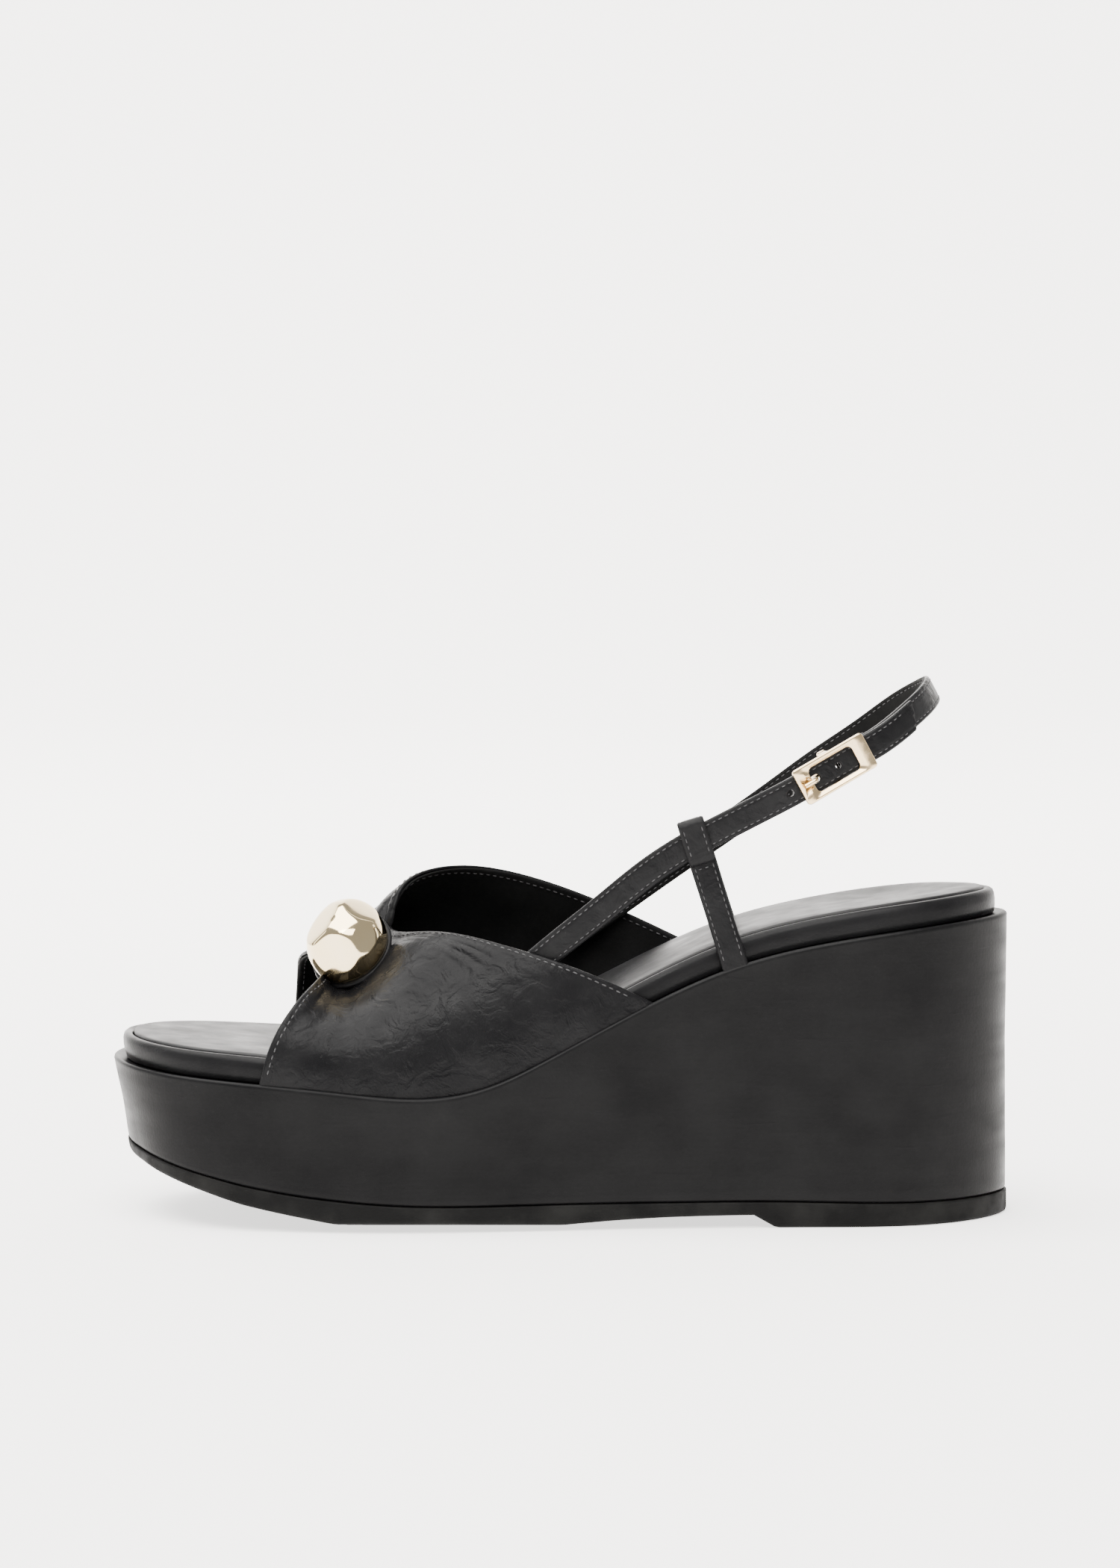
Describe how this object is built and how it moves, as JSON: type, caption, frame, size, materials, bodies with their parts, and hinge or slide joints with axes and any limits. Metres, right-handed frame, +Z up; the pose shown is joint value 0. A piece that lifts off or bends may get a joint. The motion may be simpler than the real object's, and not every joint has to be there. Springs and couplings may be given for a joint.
{
  "type": "wedge slingback sandal",
  "caption": "Open-toe platform wedge sandal in smooth black leather, with gathered crossing vamp halves under a gold pebble ornament and a buckled sling strap that folds down behind the heel.",
  "frame": {"origin": "on the ground under the middle of the overall box of the standing sandal", "axes": "+X from the toe to the heel, +Y from the outer (lateral) side to the inner (medial) side, +Z up"},
  "size_m": [0.2452, 0.0889, 0.1467],
  "materials": {
    "upper_leather": "satin",
    "lining_leather": "matte",
    "wedge_leather": "satin",
    "sock_leather": "satin",
    "outsole_rubber": "matte",
    "core_foam": "matte",
    "pad_foam": "matte",
    "insole_board": "matte",
    "polished_gold": "polished",
    "buckle_gold": "gloss",
    "steel": "satin"
  },
  "bodies": {
    "sandal": {"outsole": "outsole_rubber", "wedge_core": "core_foam", "wedge_cover": "wedge_leather", "insole_board": "insole_board", "foam_pad": "pad_foam", "footbed_rand": "wedge_leather", "sock_lining": "sock_leather", "vamp_lateral_outer": "upper_leather", "vamp_lateral_lining": "lining_leather", "vamp_medial_outer": "upper_leather", "vamp_medial_lining": "lining_leather", "ornament": "polished_gold", "ornament_backing": "upper_leather", "ornament_post": "steel", "ornament_washer": "steel", "keeper_lateral": "upper_leather", "keeper_medial": "upper_leather", "front_strap_lateral_outer": "upper_leather", "front_strap_lateral_lining": "lining_leather", "front_strap_medial_outer": "upper_leather", "front_strap_medial_lining": "lining_leather"},
    "sling": {"hole_strap_outer": "upper_leather", "hole_strap_lining": "lining_leather", "heel_strap_outer": "upper_leather", "heel_strap_lining": "lining_leather"},
    "buckle": {"buckle_frame": "buckle_gold", "buckle_bar": "buckle_gold"},
    "prong": {"buckle_prong": "buckle_gold"}
  },
  "joints": [
    {"name": "heel_strap_fold", "type": "hinge", "parent": "sandal", "child": "sling", "pos_m": [0.0444, -0.0329, 0.1081], "axis": [0.0212, 0.9953, -0.0941], "range_deg": [-15, 42], "stiffness_Nm_per_rad": 0.03, "springref_deg": -2.86},
    {"name": "buckle_play", "type": "hinge", "parent": "sling", "child": "buckle", "pos_m": [0.07206, -0.02708, 0.12305], "axis": [-0.4737, -0.0711, 0.8778], "range_deg": [-2, 2]},
    {"name": "prong_lift", "type": "hinge", "parent": "buckle", "child": "prong", "pos_m": [0.07206, -0.02708, 0.12305], "axis": [-0.4737, -0.0711, 0.8778], "range_deg": [0, 6]}
  ]
}
